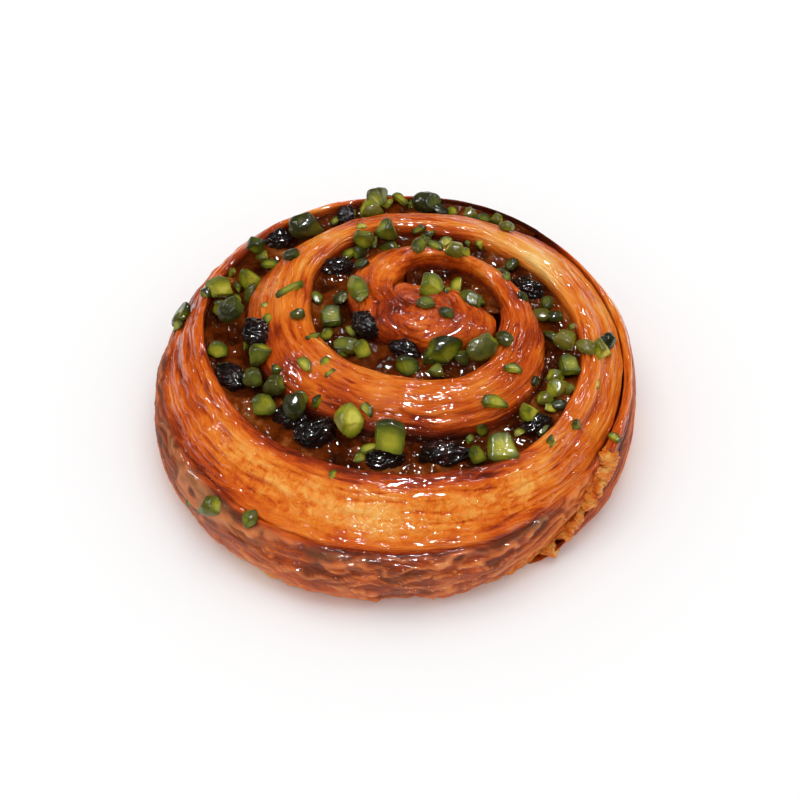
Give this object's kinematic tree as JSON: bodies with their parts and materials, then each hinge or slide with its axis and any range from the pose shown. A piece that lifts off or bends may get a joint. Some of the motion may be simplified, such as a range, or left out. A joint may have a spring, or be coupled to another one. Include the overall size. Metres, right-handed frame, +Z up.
{
  "type": "pain aux raisins",
  "caption": "Round coiled pastry of laminated dough with custard and raisins in its seams, glazed and strewn with chopped pistachios, flat underneath",
  "frame": {"origin": "the middle of the flat base, on the surface that it rests on", "axes": "+Z up out of the top, -Y towards the front as pictured, +X to the right as pictured; the strip's outer end lies at the front right"},
  "size_m": [0.1101, 0.1081, 0.0369],
  "materials": {
    "crust": "glazed golden brown crust",
    "custard": "glossy baked custard",
    "raisin": "glossy wrinkled raisin",
    "pistachio": "satin green kernel"
  },
  "bodies": {
    "root": {"dough": "crust", "custard_outer": "custard", "custard_inner": "custard", "raisin_01": "raisin", "raisin_02": "raisin", "raisin_03": "raisin", "raisin_04": "raisin", "raisin_05": "raisin", "raisin_06": "raisin", "raisin_07": "raisin", "raisin_08": "raisin", "raisin_09": "raisin", "raisin_10": "raisin", "raisin_11": "raisin", "raisin_12": "raisin", "raisin_13": "raisin", "pistachio_01": "pistachio", "pistachio_02": "pistachio", "pistachio_03": "pistachio", "pistachio_04": "pistachio", "pistachio_05": "pistachio", "pistachio_06": "pistachio", "pistachio_07": "pistachio", "pistachio_08": "pistachio", "pistachio_09": "pistachio", "pistachio_10": "pistachio", "pistachio_11": "pistachio", "pistachio_12": "pistachio", "pistachio_13": "pistachio", "pistachio_14": "pistachio", "pistachio_15": "pistachio", "pistachio_16": "pistachio", "pistachio_17": "pistachio", "pistachio_18": "pistachio", "pistachio_19": "pistachio", "pistachio_20": "pistachio", "pistachio_21": "pistachio", "pistachio_22": "pistachio", "pistachio_23": "pistachio", "pistachio_24": "pistachio", "pistachio_25": "pistachio", "pistachio_26": "pistachio", "pistachio_27": "pistachio", "pistachio_28": "pistachio", "pistachio_29": "pistachio", "pistachio_30": "pistachio", "pistachio_31": "pistachio", "pistachio_32": "pistachio", "pistachio_33": "pistachio", "pistachio_34": "pistachio", "pistachio_35": "pistachio", "pistachio_36": "pistachio", "pistachio_37": "pistachio"}
  },
  "joints": []
}
